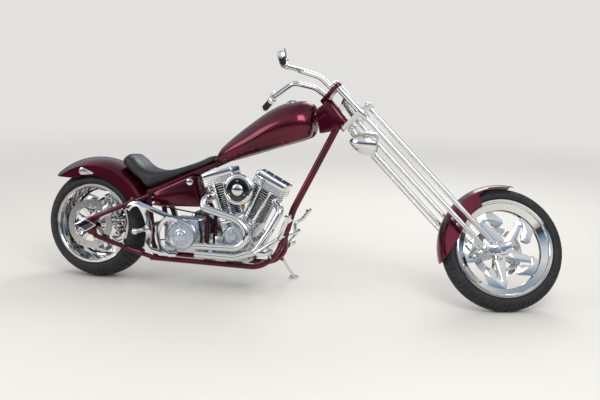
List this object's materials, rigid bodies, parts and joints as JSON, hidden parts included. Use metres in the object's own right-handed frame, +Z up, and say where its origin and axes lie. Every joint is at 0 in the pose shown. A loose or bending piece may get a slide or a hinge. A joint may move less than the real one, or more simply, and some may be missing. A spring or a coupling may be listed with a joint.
{
  "type": "chopper motorcycle",
  "caption": "Long-fork custom motorcycle with a V engine, raked springer-style fork, low seat, belt drive and side stand, parked leaning on the stand.",
  "frame": {"origin": "on the ground, under the middle of the parked motorcycle's bounding box", "axes": "+X forwards, +Y to the rider's left (the side the motorcycle leans to), +Z up"},
  "size_m": [3.0791, 0.7762, 1.4324],
  "materials": {
    "candy_paint": "gloss candy",
    "chrome": "mirror bright",
    "polished_alloy": "polished",
    "rotor_steel": "ground",
    "tyre": "matt",
    "belt_rubber": "matt",
    "grip_rubber": "matt",
    "seat_leather": "satin grain",
    "lens_glass": "clear"
  },
  "bodies": {
    "chassis": {"rear_axle": "chrome", "frame_neck": "candy_paint", "frame_backbone": "candy_paint", "frame_downtubes": "candy_paint", "frame_seat_posts": "candy_paint", "frame_lower_rails": "candy_paint", "rear_stays": "candy_paint", "fuel_tank": "candy_paint", "tank_cap": "chrome", "seat": "seat_leather", "rear_fender": "candy_paint", "side_lamps": "chrome", "oil_tank": "candy_paint", "crankcase": "polished_alloy", "cylinders": "polished_alloy", "rocker_boxes": "chrome", "air_cleaner": "chrome", "exhaust_pipes": "chrome", "gearbox": "polished_alloy", "primary_case": "chrome", "drive_belt": "belt_rubber", "rear_caliper": "polished_alloy", "side_brackets": "chrome", "forward_controls": "chrome"},
    "fork": {"fork_rear_legs": "chrome", "fork_front_legs": "chrome", "lower_tree": "chrome", "top_tree": "candy_paint", "fork_springs": "chrome", "rockers": "chrome", "handlebars": "chrome", "hand_grips": "grip_rubber", "headlight": "chrome", "headlight_lens": "lens_glass", "front_fender": "candy_paint", "front_caliper": "polished_alloy", "brake_hose": "belt_rubber"},
    "rear_wheel": {"rear_rim": "chrome", "rear_tyre": "tyre", "rear_rotor": "rotor_steel", "rear_pulley": "chrome"},
    "front_wheel": {"front_rim": "chrome", "front_tyre": "tyre", "front_rotor": "rotor_steel"},
    "side_stand": {"side_stand": "chrome"}
  },
  "joints": [
    {"name": "rear_wheel_spin", "type": "hinge", "parent": "chassis", "child": "rear_wheel", "pos_m": [-1.20958, 0.01041, 0.32925], "axis": [0, 0.9957, -0.0931], "continuous": true},
    {"name": "steering", "type": "hinge", "parent": "chassis", "child": "fork", "pos_m": [0.25314, 0.07872, 1.06063], "axis": [-0.6431, 0.0713, 0.7625], "range_deg": [-60, 0]},
    {"name": "front_wheel_spin", "type": "hinge", "parent": "fork", "child": "front_wheel", "pos_m": [1.21198, 0.16579, 0.3254], "axis": [-0.3829, 0.8324, -0.4007], "continuous": true},
    {"name": "stand_swing", "type": "hinge", "parent": "chassis", "child": "side_stand", "pos_m": [-0.07952, 0.14228, 0.17173], "axis": [-0.2227, 0.6104, 0.7601], "range_deg": [0, 75]}
  ]
}
